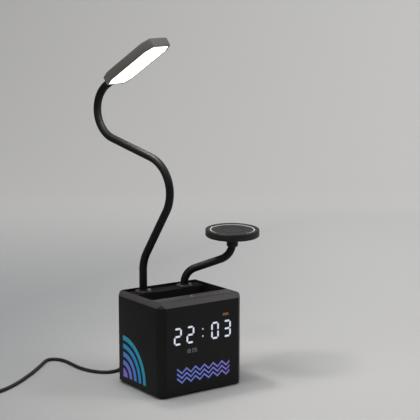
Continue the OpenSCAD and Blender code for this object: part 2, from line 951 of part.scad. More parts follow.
// spindle that turns in a socket and holds the foot of the conduit
module swivel() {
    color("dimgray")
        difference() {
            union() {
                translate([0, 0, -barrel_l - 2]) cylinder(r = cap_r, h = 2 - slip);
                translate([0, 0, -barrel_l - 0.5])
                    cylinder(r = spindle_r, h = barrel_l + 0.5 + flange_h + slip + eps);
                translate([0, 0, flange_h + slip]) cylinder(r = cap_r, h = cap_h);
            }
            translate([0, 0, -conduit_seat - 0.1]) cylinder(r = conduit_r + 0.03, h = big);
        }
}

// ---- lamp ----

module lamp_conduit_1() {
    lamp_base() translate([0, 0, -conduit_seat]) conduit(lamp_link_1, false, true);
}

module lamp_conduit_2() {
    lamp_base() at_end(to_lean) conduit(lamp_link_2, true, true);
}

module lamp_conduit_3() {
    lamp_base() at_end(to_back) conduit(lamp_link_3, true, true);
}

module lamp_conduit_4() {
    lamp_base() at_end(to_hook) conduit(lamp_link_4, true, false);
}

module lamp_sleeve() {
    lamp_base() translate([0, 0, neck_base]) sleeve(lamp_skin);
}

// slab of the head's outline between two depths, drawn in by inset
module head_slab(inset, x0, x1) {
    translate([x0, 0, head_l / 2])
        rotate([0, 90, 0])
            linear_extrude(x1 - x0)
                cut_rect(head_l - 2 * inset, head_w - 2 * inset, head_cut_l, head_cut_w);
}

module head_cover() {
    color([0.2, 0.2, 0.21])
        on_head()
            difference() {
                union() {
                    hull() {
                        head_slab(head_bevel, head_top, head_top + eps);
                        head_slab(0, head_top + head_bevel, head_top + head_bevel + eps);
                    }
                    head_slab(0, head_top + head_bevel, head_under - frame_h);
                }
                head_slab(head_wall, head_top + head_wall, head_under);
                translate([0, 0, -1]) cylinder(r = conduit_r + 0.2, h = head_wall + 2);
            }
}

module head_frame() {
    color([0.16, 0.16, 0.17])
        on_head()
            difference() {
                head_slab(0, head_under - frame_h, head_under);
                head_slab(head_rim, head_under - frame_h - 1, head_under + 1);
            }
}

module diffuser() {
    color("white")
        on_head() {
            head_slab(head_rim + slip, head_under - frame_h - 0.3, head_under - 0.2);
            head_slab(head_wall + slip, head_under - frame_h - diffuser_t, head_under - frame_h - 0.3 + eps);
        }
}

module led_board() {
    on_head() {
        color("white")
            box([led_board_x, -head_w / 2 + head_wall + 1, led_board_z],
                [led_board_x + led_board_t, head_w / 2 - head_wall - 1, head_l - head_wall - head_cut_l]);
        color("gold")
            for (i = [0 : led_cols - 1], j = [0 : led_rows - 1])
                translate([
                    led_board_x + led_board_t - eps,
                    (j - (led_rows - 1) / 2) * (head_w - 2 * head_wall - 8) / (led_rows - 1) - led_a / 2,
                    led_board_z + 2 + i * (head_l - head_wall - head_cut_l - led_board_z - 4 - led_a) / (led_cols - 1)
                ])
                    cube([led_h, led_a, led_a]);
        // strips that seat the board on the cover
        color("white")
            for (s = [-1, 1])
                translate([head_top + head_wall, s * (head_w / 2 - head_wall - 4) - 1, led_board_z + 2])
                    cube([led_board_x - head_top - head_wall + eps, 2, head_l - head_wall - head_cut_l - led_board_z - 4]);
    }
}

module head_ferrule() {
    color("dimgray")
        on_head()
            difference() {
                box([head_top + head_wall, -ferrule_w / 2, head_wall + slip],
                    [conduit_r + 0.7, ferrule_w / 2, ferrule_l]);
                cylinder(r = conduit_r + 0.05, h = big);
                for (s = [-1, 1])
                    translate([0, s * head_screw_y, head_screw_z])
                        rotate([0, 90, 0]) cylinder(r = head_screw_r + 0.05, h = big, center = true);
            }
}

module head_screws() {
    color("silver")
        on_head()
            for (s = [-1, 1])
                translate([head_top + head_wall + 0.1, s * head_screw_y, head_screw_z])
                    rotate([0, 90, 0]) cylinder(r = head_screw_r, h = conduit_r + 0.6 - head_top - head_wall);
}

// ---- pad ----

module pad_conduit_1() {
    pad_base() translate([0, 0, -conduit_seat]) conduit(pad_link_1, false, true);
}

module pad_conduit_2() {
    pad_base() at_end(to_elbow) conduit(pad_link_2, true, true);
}

module pad_conduit_3() {
    pad_base() at_end(to_wrist) conduit(pad_link_3, true, false);
}

module pad_sleeve() {
    pad_base() translate([0, 0, neck_base]) sleeve(pad_skin);
}

module pad_hub() {
    color([0.08, 0.08, 0.09])
        on_hub()
            difference() {
                translate([0, 0, -hub_in])
                    rotate_extrude()
                        polygon([
                            [0, 0], [hub_d / 2 - 1, 0], [hub_d / 2, 1.6],
                            [hub_d / 2, hub_l + 2], [0, hub_l + 2]
                        ]);
                translate([0, 0, -hub_in - 1]) cylinder(r = sleeve_r + 0.5, h = hub_in + 1);
                translate([0, 0, -1]) cylinder(r = conduit_r + 0.1, h = 4.2);
                translate([0, 0, hub_l - hub_in])
                    rotate([pad_lean, 0, 0])
                        translate([-big / 2, -big / 2, 0]) cube(big);
            }
}

module pad_dish() {
    color([0.1, 0.1, 0.1])
        on_pad()
            rotate_extrude($fn = 96)
                polygon([
                    [0, 0], [dish_r - 0.8, 0], [dish_r, 0.8], [dish_r, pad_t - 0.6],
                    [dish_r - 0.6, pad_t], [top_r + 0.7, pad_t], [top_r, pad_t - 0.7],
                    [top_r, step_z], [top_r - step_w, step_z], [top_r - step_w, dish_floor],
                    [0, dish_floor]
                ]);
}

module pad_ring() {
    color("gainsboro")
        on_pad() translate([0, 0, step_z]) ring(top_r - 0.05, top_r - 0.05 - pad_ring_w, pad_ring_h);
}

module pad_top() {
    color([0.13, 0.13, 0.13])
        on_pad()
            translate([0, 0, step_z])
                difference() {
                    cylinder(r = top_r - 0.1 - pad_ring_w, h = pad_top_t);
                    // ring groove that shows where a device lies best
                    translate([0, 0, pad_top_t - find_deep]) ring(find_r + find_w / 2, find_r - find_w / 2, 1);
                }
}

module charge_coil() {
    color("peru")
        on_pad()
            translate([0, 0, dish_floor])
                rotate_extrude()
                    polygon(concat(
                        [[coil_in_r, 0]],
                        [for (k = [0 : 7]) let (r = coil_in_r + k * 1.5)
                            each [[r, 1.6], [r + 1.1, 1.6], [r + 1.1, 1.2], [r + 1.5, 1.2]]],
                        [[coil_out_r, 0]]
                    ));
}

// ---- cord and its ends ----

module inlet_plug() {
    color([0.12, 0.12, 0.12])
        translate([inlet_x, half_d + soft_gap, inlet_z])
            rotate([-90, 0, 0]) {
                linear_extrude(plug_l) rounded_rect(plug_w, plug_t, 2.4);
                translate([0, 0, plug_l])
                    rotate_extrude()
                        polygon([
                            [0, 0], [2.8, 0], [2.8, 1.2], [2.4, 1.2], [2.4, 2], [2.7, 2], [2.6, 3.2],
                            [2.2, 3.2], [2.2, 4], [2.5, 4], [2.4, 5.2], [2, 5.2], [2, 6], [2.2, 6],
                            [2.1, relief_l], [0, relief_l]
                        ]);
                translate([0, 0, -6.2])
                    linear_extrude(6.2 + eps) rounded_rect(tongue_w, tongue_t, 0.95);
            }
}

module power_cord() {
    color([0.12, 0.12, 0.12]) cord_tube(route, 8);
}

module cord_coil() {
    color([0.12, 0.12, 0.12]) cord_tube(coil_path, 6);
}

module cord_tail() {
    color([0.12, 0.12, 0.12]) cord_tube(tail_path, 8);
}

// strap round the turns of the coil, on the side away from its end
module cord_tie() {
    in_r = coil_r(coil_turns + 0.25) - cord_d / 2 - 0.5;
    out_r = coil_out + cord_d / 2 + 0.3;
    under = coil_lie - cord_d / 2 - 0.1;
    top = coil_lie + coil_pitch + cord_d / 2 + 0.1;
    color([0.15, 0.15, 0.15])
        translate([coil_c[0], coil_c[1], 0])
            rotate([0, 0, coil_dir - 90])
                difference() {
                    box([in_r - tie_t, -2.5, under - tie_t], [out_r + tie_t, 2.5, top + tie_t]);
                    box([in_r, -3, under], [out_r, 3, top]);
                }
}

module supply_plug() {
    color([0.12, 0.12, 0.12])
        translate(plug_from)
            rotate([0, 0, coil_dir])
                rotate([90, 0, 90]) {
                    rotate_extrude()
                        polygon([[0, 0], [2.2, 0], [3, 7.5], [0, 7.5]]);
                    translate([0, 0, 7])
                        linear_extrude(supply_l) rounded_rect(supply_w, supply_t, 2.4);
                }
}

module supply_shell() {
    color("silver")
        translate(plug_from)
            rotate([0, 0, coil_dir])
                rotate([90, 0, 90])
                    translate([0, 0, 7 + supply_l])
                        difference() {
                            linear_extrude(shell_l) rounded_rect(shell_w, shell_t, 0.4);
                            translate([0, 0, 1])
                                linear_extrude(shell_l)
                                    difference() {
                                        rounded_rect(shell_w - 0.8, shell_t - 0.8, 0.3);
                                        translate([0, -1]) square([shell_w, 1.4], center = true);
                                    }
                        }
}

housing();
front_panel();
pen_well();
base_plate();
ballast_plate();
base_screws();
grip_pad();
main_board();
usb_socket();
coin_cell();
clock_board();
digit(0);  // digit_1
digit(1);  // digit_2
digit(2);  // digit_3
digit(3);  // digit_4
colon_dots();
dark_bars();
date_window();
day_window();
touch_board();
status_light();
power_key();
button_board();
button(0);  // set_button
button(1);  // up_button
button(2);  // down_button
lamp_socket();
pad_socket();
socket_nuts();
socket_screws();
lamp_base() swivel();  // lamp_swivel
lamp_conduit_1();
lamp_conduit_2();
lamp_conduit_3();
lamp_conduit_4();
lamp_sleeve();
head_cover();
head_frame();
diffuser();
led_board();
head_ferrule();
head_screws();
pad_base() swivel();  // pad_swivel
pad_conduit_1();
pad_conduit_2();
pad_conduit_3();
pad_sleeve();
pad_hub();
pad_dish();
pad_top();
pad_ring();
charge_coil();
inlet_plug();
power_cord();
cord_coil();
cord_tail();
cord_tie();
supply_plug();
supply_shell();
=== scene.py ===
import bpy
import bmesh
import json
import math
from mathutils import Matrix, Vector
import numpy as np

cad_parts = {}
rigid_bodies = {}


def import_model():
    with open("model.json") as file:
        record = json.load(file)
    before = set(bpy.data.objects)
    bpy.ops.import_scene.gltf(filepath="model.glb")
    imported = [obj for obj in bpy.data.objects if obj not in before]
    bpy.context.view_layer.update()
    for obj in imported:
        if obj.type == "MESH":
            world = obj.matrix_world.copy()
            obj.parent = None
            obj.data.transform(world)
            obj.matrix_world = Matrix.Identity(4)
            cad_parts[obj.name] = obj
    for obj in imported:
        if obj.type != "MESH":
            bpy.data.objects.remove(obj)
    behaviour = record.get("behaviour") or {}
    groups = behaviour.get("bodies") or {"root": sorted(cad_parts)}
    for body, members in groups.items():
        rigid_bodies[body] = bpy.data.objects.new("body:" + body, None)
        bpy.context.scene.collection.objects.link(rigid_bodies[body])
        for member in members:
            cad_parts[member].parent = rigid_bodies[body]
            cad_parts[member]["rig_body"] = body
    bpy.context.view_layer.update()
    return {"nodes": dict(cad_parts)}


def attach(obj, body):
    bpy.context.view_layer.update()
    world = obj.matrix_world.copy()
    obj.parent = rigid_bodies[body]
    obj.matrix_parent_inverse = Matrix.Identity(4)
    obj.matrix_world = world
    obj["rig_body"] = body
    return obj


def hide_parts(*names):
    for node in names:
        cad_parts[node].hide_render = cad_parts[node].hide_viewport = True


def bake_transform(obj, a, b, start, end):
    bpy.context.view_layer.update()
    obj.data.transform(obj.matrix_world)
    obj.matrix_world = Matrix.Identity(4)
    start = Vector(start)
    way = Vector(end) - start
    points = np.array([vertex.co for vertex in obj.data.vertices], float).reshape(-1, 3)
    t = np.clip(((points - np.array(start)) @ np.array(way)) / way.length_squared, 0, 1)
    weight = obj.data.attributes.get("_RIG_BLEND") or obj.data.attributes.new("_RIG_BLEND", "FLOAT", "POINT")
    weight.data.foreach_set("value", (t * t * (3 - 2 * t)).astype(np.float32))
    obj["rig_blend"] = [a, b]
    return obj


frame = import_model()
nodes = frame["nodes"]
print("frame loaded:", len(nodes), "nodes")


# a shader socket that takes part in sums
class Wire:
    def __init__(self, finish, socket):
        self.finish = finish
        self.socket = socket

    def maths(self, operation, *others):
        sockets = dict(enumerate((self,) + others))
        return self.finish.node("ShaderNodeMath", {"operation": operation}, sockets)

    def reflected(self, operation, first):
        return self.finish.node("ShaderNodeMath", {"operation": operation}, {0: first, 1: self})

    def __add__(self, other):
        return self.maths("ADD", other)

    def __radd__(self, other):
        return self.reflected("ADD", other)

    def __sub__(self, other):
        return self.maths("SUBTRACT", other)

    def __rsub__(self, other):
        return self.reflected("SUBTRACT", other)

    def __mul__(self, other):
        return self.maths("MULTIPLY", other)

    def __rmul__(self, other):
        return self.reflected("MULTIPLY", other)

    def __truediv__(self, other):
        return self.maths("DIVIDE", other)

    def __rtruediv__(self, other):
        return self.reflected("DIVIDE", other)

    def __abs__(self):
        return self.maths("ABSOLUTE")

    def __lt__(self, other):
        return self.maths("LESS_THAN", other)

    def __gt__(self, other):
        return self.maths("GREATER_THAN", other)

    def within(self, low, high, edge):
        # 1 between two values, with a soft edge
        return self.ramped(low - edge, low + edge) * self.ramped(high - edge, high + edge, 1.0, 0.0)

    def ramped(self, low, high, start=0.0, stop=1.0):
        settings = {"interpolation_type": "SMOOTHSTEP", "clamp": True}
        sockets = {0: self, 1: low, 2: high, 3: start, 4: stop}
        return self.finish.node("ShaderNodeMapRange", settings, sockets)


# one material and the nodes in it
class Finish:
    def __init__(self, name):
        self.material = bpy.data.materials.new(name)
        self.material.use_nodes = True
        self.tree = self.material.node_tree
        self.tree.nodes.clear()
        output = self.tree.nodes.new("ShaderNodeOutputMaterial")
        self.shader = self.tree.nodes.new("ShaderNodeBsdfPrincipled")
        self.tree.links.new(self.shader.outputs[0], output.inputs[0])
        self.place = None

    def node(self, kind, settings=None, sockets=None, out=0):
        made = self.tree.nodes.new(kind)
        for key, value in (settings or {}).items():
            if key == "stops":
                ramp = made.color_ramp
                while len(ramp.elements) < len(value):
                    ramp.elements.new(0.5)
                for element, (position, colour) in zip(ramp.elements, value):
                    element.position = position
                    element.color = (*colour, 1)
            else:
                setattr(made, key, value)
        for key, value in (sockets or {}).items():
            self.plug(made.inputs[key], value)
        return Wire(self, made.outputs[out])

    def plug(self, socket, value):
        if isinstance(value, Wire):
            self.tree.links.new(value.socket, socket)
        elif isinstance(value, (tuple, list)) and len(value) == 3 and socket.type == "RGBA":
            socket.default_value = (*value, 1)
        else:
            socket.default_value = value

    def set(self, **sockets):
        for key, value in sockets.items():
            self.plug(self.shader.inputs[key.replace("_", " ")], value)
        return self

    def point(self):
        if self.place is None:
            self.place = self.node("ShaderNodeTexCoord", out="Object")
        return self.place

    def axes(self):
        split = self.node("ShaderNodeSeparateXYZ", sockets={0: self.point()})
        return split, Wire(self, split.socket.node.outputs[1]), Wire(self, split.socket.node.outputs[2])

    def noise(self, scale, detail=2.0, rough=0.5, at=None):
        sockets = {"Vector": at or self.point(), "Scale": scale, "Detail": detail, "Roughness": rough}
        return self.node("ShaderNodeTexNoise", sockets=sockets)

    def cells(self, scale):
        return self.node("ShaderNodeTexVoronoi", sockets={"Vector": self.point(), "Scale": scale})

    def mix(self, share, first, second):
        made = self.tree.nodes.new("ShaderNodeMix")
        made.data_type = "RGBA"
        self.plug(made.inputs[0], share)
        self.plug(made.inputs[6], first)
        self.plug(made.inputs[7], second)
        return Wire(self, made.outputs[2])

    def bump(self, height, strength, distance):
        sockets = {"Strength": strength, "Distance": distance, "Height": height}
        return self.node("ShaderNodeBump", sockets=sockets)

    def soFar(self, socket):
        # what feeds one of the shader's sockets until now
        return Wire(self, self.shader.inputs[socket].links[0].from_socket)


def moulded(name, colour, rough=0.5, grain=0.25, grainScale=2600):
    # moulded plastic: fine spark-eroded grain, slow drift of tone and of polish
    finish = Finish(name)
    drift = finish.noise(scale=38, detail=3)
    speckle = finish.noise(grainScale, rough=0.6)
    lighter = tuple(c * 1.15 + 0.002 for c in colour)
    darker = tuple(c * 0.85 for c in colour)
    finish.set(Base_Color=finish.mix(drift, darker, lighter),
               Roughness=rough - 0.06 + drift * 0.1 + speckle * 0.05,
               Specular_IOR_Level=0.22,
               Normal=finish.bump(speckle, grain, distance=0.00008))
    return finish


def metal(name, colour, rough):
    # brushed metal
    finish = Finish(name)
    stretched = finish.node("ShaderNodeMapping", sockets={"Vector": finish.point(), "Scale": (1, 1, 14)})
    lines = finish.noise(scale=420, detail=3, rough=0.6, at=stretched)
    finish.set(Base_Color=finish.mix(lines, tuple(c * 0.82 for c in colour), colour),
               Metallic=1.0,
               Roughness=rough - 0.08 + lines * 0.16,
               Normal=finish.bump(lines, strength=0.2, distance=0.00003))
    return finish


def soft(name, colour, rough, gloss=0.3, bloom=0.004):
    # silicone and cord jacket: dull, with a dusty bloom on it
    finish = Finish(name)
    dust = finish.noise(scale=160, detail=4, rough=0.65)
    fine = finish.noise(scale=3400)
    dusty = tuple(c * 1.7 + bloom for c in colour)
    finish.set(Base_Color=finish.mix(dust.ramped(0.35, 0.75), colour, dusty),
               Roughness=rough + dust * 0.16,
               Specular_IOR_Level=gloss,
               Normal=finish.bump(fine, strength=0.4, distance=0.00005))
    return finish


def lit(name, colour, strength, core=None, body=1.0):
    # light guide or lamp: core is its brightest tone, body how pale it is where it doesn't glow
    finish = Finish(name)
    cloud = finish.noise(scale=240)
    darker = tuple(c * 0.8 * body for c in colour)
    lighter = tuple(c * body for c in colour)
    finish.set(Base_Color=finish.mix(cloud, darker, lighter),
               Roughness=0.4 + cloud * 0.1,
               Emission_Color=finish.mix(cloud.ramped(0.3, 0.7), core or colour, colour),
               Emission_Strength=strength)
    return finish


def board(name):
    # green lacquer over copper tracks
    finish = Finish(name)
    tracks = finish.cells(scale=420)
    weave = finish.noise(scale=2400)
    finish.set(Base_Color=finish.mix(tracks.ramped(0.25, 0.4), (0.012, 0.11, 0.045), (0.02, 0.2, 0.08)),
               Roughness=0.32 + weave * 0.1,
               Normal=finish.bump(weave, strength=0.2, distance=0.00003))
    return finish


# sizes in metres, from the middle of the cube's foot
sidePrint = {
    "face": -0.0498,
    "corner": (0.0272, 0.0085),
    "rings": 5,
    "ringStep": 0.0085,
    "firstRing": 0.0085,
    "ringWidth": 0.005,
    "softness": 0.00012,
    "stops": [(0.0, (0.42, 0.19, 0.85)), (0.35, (0.2, 0.26, 0.9)), (0.7, (0.02, 0.34, 0.76)),
              (1.0, (0.02, 0.44, 0.56))],
    "speck": (0.08, 0.18, 0.42),
    "speckScale": 900,
}


def printedHousing(name, colour):
    # quarter rings on the left side, teal outside and violet inside
    finish = moulded(name, colour)
    x, y, z = finish.axes()
    away = sidePrint["corner"][0] - y
    above = z - sidePrint["corner"][1]
    reach = (away * away + above * above).maths("SQRT")
    rings = 0.0
    for k in reversed(range(sidePrint["rings"])):
        outer = sidePrint["firstRing"] + k * sidePrint["ringStep"]
        inner = outer - sidePrint["ringWidth"] if k else 0.0
        rings = reach.within(inner, outer, sidePrint["softness"]) + rings
    widest = sidePrint["firstRing"] + (sidePrint["rings"] - 1) * sidePrint["ringStep"]
    mask = rings * (away > 0) * (above > 0) * (x < sidePrint["face"])
    ramp = finish.node("ShaderNodeValToRGB", {"stops": sidePrint["stops"]}, {0: reach / widest})
    base = finish.soFar("Base Color")
    speckle = finish.noise(sidePrint["speckScale"])
    ink = finish.mix(speckle.ramped(0.45, 0.85), ramp, sidePrint["speck"])
    finish.set(Base_Color=finish.mix(mask, base, ink))
    return finish


# in metres as above: rows of zigzag line, with the swing from valley to crest
bandPrint = {
    "face": -0.0419,
    "left": -0.031,
    "right": 0.032,
    "level": 0.0165,
    "rows": 3,
    "step": 0.0047,
    "thick": 0.0021,
    "wave": 0.0106,
    "swing": 0.0046,
    "lead": 0.2,  # the waves are counted from this far left of the middle
    "softness": 0.0001,
    "stops": [(0.0, (0.24, 0.35, 0.98)), (0.5, (0.27, 0.33, 0.96)), (1.0, (0.34, 0.31, 0.94))],
    "speck": (0.16, 0.16, 0.55),
    "speckScale": 1100,
}


def printedFace(name, colour):
    # zigzag band along the foot of the clock face
    finish = moulded(name, colour, rough=0.42, grain=0.12, grainScale=3200)
    x, y, z = finish.axes()
    left, right, edge = bandPrint["left"], bandPrint["right"], bandPrint["softness"]
    half = bandPrint["thick"] / 2
    waves = (x + bandPrint["lead"]) / bandPrint["wave"]
    saw = abs(waves.maths("FRACT") - 0.5) * (2 * bandPrint["swing"])
    lines = 0.0
    for row in range(bandPrint["rows"]):
        level = bandPrint["level"] + row * bandPrint["step"]
        off = abs(z - level - saw + bandPrint["swing"] / 2)
        lines = off.ramped(half - edge, half + edge, 1.0, 0.0) + lines
    mask = lines * x.within(left, right, edge) * (y < bandPrint["face"])
    share = (x - left) / (right - left)
    tint = finish.node("ShaderNodeValToRGB", {"stops": bandPrint["stops"]}, {0: share})
    base = finish.soFar("Base Color")
    speckle = finish.noise(bandPrint["speckScale"])
    ink = finish.mix(speckle.ramped(0.45, 0.85), tint, bandPrint["speck"])
    finish.set(Base_Color=finish.mix(mask, base, ink))
    return finish


deckPlan = {
    "rim": (0.03, 0.027, 0.0295),
    # the bevel's colour is painted light: the same plastic as the rim, paler where light falls on it
    "bevel": (0.052, 0.0465, 0.0515),
    # the inside colour is painted shade: the well and ledge are the same plastic as the rim, blackened
    "inside": (0.003, 0.003, 0.003),
    "level": 0.0949,  # below this height the hollow is painted black as shade and the bevel painted pale as light
    "blend": 0.0005,
    "hollowAcross": (-0.0451, 0.0451),
    "hollowBack": (-0.0211, 0.0371),
    "softness": 0.00002,
}


def deckPlastic(name, plan):
    # dark touch rim; painted light makes the bevel round it paler, painted shade makes the well and ledge
    # black
    finish = moulded(name, plan["rim"], rough=0.46)
    x, y, z = finish.axes()
    edge = plan["softness"]
    across = x.within(*plan["hollowAcross"], edge)
    deep = y.within(*plan["hollowBack"], edge)
    shadedHollow = (z < plan["level"]) * across * deep
    rim = finish.soFar("Base Color")
    rough = finish.soFar("Roughness")
    # painted light: the bevel below the rim's level takes the paler colour
    rimAndPaintedBevel = finish.mix(z.ramped(plan["level"] - plan["blend"], plan["level"]), plan["bevel"], rim)
    # the hollow's black is painted shade; its rougher finish is real
    finish.set(Base_Color=finish.mix(shadedHollow, rimAndPaintedBevel, plan["inside"]), Roughness=rough + shadedHollow * 0.35)
    return finish


def asObject(name, mesh, finish, smooth=40):
    # smooth is the angle in degrees up to which edges are shaded round
    piece = bpy.data.objects.new(name, mesh)
    bpy.context.scene.collection.objects.link(piece)
    mesh.materials.clear()
    mesh.materials.append(finish.material)
    for face in mesh.polygons:
        face.use_smooth = True
    mesh.set_sharp_from_angle(angle=math.radians(smooth))
    return piece


def baked(piece, name, finish, smooth=40):
    # what the modifiers make, as a plain mesh
    graph = bpy.context.evaluated_depsgraph_get()
    mesh = bpy.data.meshes.new_from_object(piece.evaluated_get(graph))
    bpy.data.objects.remove(piece)
    mesh.name = name
    return asObject(name, mesh, finish, smooth)


def setInput(modifier, tree, name, value):
    for item in tree.interface.items_tree:
        if item.item_type == "SOCKET" and item.in_out == "INPUT" and item.name == name:
            modifier[item.identifier] = value
            return
    raise KeyError(name)


def nodeTree(name, inputs):
    tree = bpy.data.node_groups.new(name, "GeometryNodeTree")
    tree.interface.new_socket("Geometry", in_out="INPUT", socket_type="NodeSocketGeometry")
    for label, kind in inputs:
        tree.interface.new_socket(label, in_out="INPUT", socket_type=kind)
    tree.interface.new_socket("Geometry", in_out="OUTPUT", socket_type="NodeSocketGeometry")
    return tree, tree.nodes.new("NodeGroupInput"), tree.nodes.new("NodeGroupOutput")


def addNode(tree, kind, settings=None, links=None):
    made = tree.nodes.new(kind)
    for key, value in (settings or {}).items():
        setattr(made, key, value)
    for key, value in (links or {}).items():
        if isinstance(value, bpy.types.NodeSocket):
            tree.links.new(value, made.inputs[key])
        else:
            made.inputs[key].default_value = value
    return made


# what both trees ask for
tubeInputs = [
    ("Radius", "NodeSocketFloat"),
    ("Sides", "NodeSocketInt"),
    ("Finish", "NodeSocketMaterial"),
]


def sweptCircle(tree, into, out, curve, options):
    # a circle swept along the curve, made real and given its finish
    circle = addNode(tree, "GeometryNodeCurvePrimitiveCircle",
                     links={"Radius": into.outputs["Radius"], "Resolution": into.outputs["Sides"]})
    swept = addNode(tree, "GeometryNodeCurveToMesh",
                    links={"Curve": curve, "Profile Curve": circle.outputs[0], **options})
    real = addNode(tree, "GeometryNodeRealizeInstances", links={0: swept.outputs[0]})
    done = addNode(tree, "GeometryNodeSetMaterial",
                   links={"Geometry": real.outputs[0], "Material": into.outputs["Finish"]})
    tree.links.new(done.outputs[0], out.inputs[0])
    return tree


def tubeTree():
    # a tube along the piece's own line
    tree, into, out = nodeTree("tubeAlongLine", tubeInputs + [("Closed", "NodeSocketBool")])
    line = addNode(tree, "GeometryNodeMeshToCurve", links={"Mesh": into.outputs["Geometry"]})
    return sweptCircle(tree, into, out, line.outputs[0], {"Fill Caps": into.outputs["Closed"]})


def windingTree():
    # a closed tube with a groove between the turns of its wound steel strip
    strip = [("Pitch", "NodeSocketFloat"), ("Groove", "NodeSocketFloat")]
    tree, into, out = nodeTree("woundTube", tubeInputs + strip)
    ringsToTurn = 4.0  # crest, slope, groove, slope

    def maths(operation, first, second=0.0):
        made = addNode(tree, "ShaderNodeMath", {"operation": operation}, {0: first, 1: second})
        return made.outputs[0]

    line = addNode(tree, "GeometryNodeMeshToCurve", links={"Mesh": into.outputs["Geometry"]})
    apart = maths("DIVIDE", into.outputs["Pitch"], ringsToTurn)
    rings = addNode(tree, "GeometryNodeResampleCurve", {"mode": "LENGTH"},
                    {"Curve": line.outputs[0], "Length": apart})
    ringInTurn = maths("MODULO", addNode(tree, "GeometryNodeInputIndex").outputs[0], ringsToTurn)
    fromGroove = maths("ABSOLUTE", maths("SUBTRACT", ringInTurn, ringsToTurn / 2))
    share = maths("DIVIDE", fromGroove, ringsToTurn / 2)
    sunk = maths("MULTIPLY", maths("SUBTRACT", 1.0, share), into.outputs["Groove"])
    return sweptCircle(tree, into, out, rings.outputs[0],
                       {"Scale": maths("SUBTRACT", 1.0, sunk), "Fill Caps": True})


tubeMaker = tubeTree()
windingMaker = windingTree()


def alongLine(name, points, edges, maker, finish, inputs, wall=0.0):
    # runs one of the trees on a bare line, and gives an open tube its wall
    mesh = bpy.data.meshes.new(name)
    mesh.from_pydata([tuple(p) for p in points], edges, [])
    piece = bpy.data.objects.new(name + "Line", mesh)
    bpy.context.scene.collection.objects.link(piece)
    modifier = piece.modifiers.new("alongLine", "NODES")
    modifier.node_group = maker
    for label, value in inputs.items():
        setInput(modifier, maker, label, value)
    setInput(modifier, maker, "Finish", finish.material)
    if wall:
        inward = piece.modifiers.new("wall", "SOLIDIFY")
        inward.thickness = wall
        inward.offset = -1
    return baked(piece, name, finish)


def oneLine(points):
    return [(k, k + 1) for k in range(len(points) - 1)]


def tube(name, points, radius, sides, finish, wall=0.0):
    sizes = {"Radius": radius, "Sides": sides, "Closed": not wall}
    return alongLine(name, points, oneLine(points), tubeMaker, finish, sizes, wall)


# in metres and degrees
softEdge = {
    "sameSpot": 0.000001,
    "flatWithin": 2,
    "sharperThan": 25,
    "smoothBelow": 50,
}


def bevelled(node, width, steps):
    # the solid with its edges softened, in place of the plain one
    mesh = nodes[node].data.copy()
    work = bmesh.new()
    work.from_mesh(mesh)
    bmesh.ops.remove_doubles(work, verts=work.verts, dist=softEdge["sameSpot"])
    bmesh.ops.dissolve_limit(work, angle_limit=math.radians(softEdge["flatWithin"]),
                             verts=work.verts, edges=work.edges)
    work.to_mesh(mesh)
    work.free()
    for key in list(mesh.attributes.keys()):
        if key.startswith("custom_normal"):
            mesh.attributes.remove(mesh.attributes[key])
    name = node + "Soft"
    piece = bpy.data.objects.new(name, mesh)
    bpy.context.scene.collection.objects.link(piece)
    modifier = piece.modifiers.new("softEdges", "BEVEL")
    modifier.width = width
    modifier.segments = steps
    modifier.limit_method = "ANGLE"
    modifier.angle_limit = math.radians(softEdge["sharperThan"])
    modifier.use_clamp_overlap = True
    made = baked(piece, name, finishes[finishOfNode[node]], softEdge["smoothBelow"])
    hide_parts(node)
    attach(made, nodes[node]["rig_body"])
    return made


camera = {
    "place": (-0.616775, -0.923339, 0.339547),
    "right": (0.81573, -0.57843, 0.0),
    "up": (0.08380, 0.11818, 0.98945),
    "ahead": (0.57232, 0.80713, -0.14487),
    "lens": 96.64,
    "sensor": 36,
    "near": 0.05,
    "far": 20,
}
eye = bpy.data.cameras.new("eye")
eye.lens = camera["lens"]
eye.sensor_width = camera["sensor"]
eye.clip_start = camera["near"]
eye.clip_end = camera["far"]
eyeObject = bpy.data.objects.new("eye", eye)
bpy.context.scene.collection.objects.link(eyeObject)
turn = Matrix((camera["right"], camera["up"], [-v for v in camera["ahead"]])).transposed().to_4x4()
eyeObject.matrix_world = Matrix.Translation(camera["place"]) @ turn
bpy.context.scene.camera = eyeObject
print("camera placed")


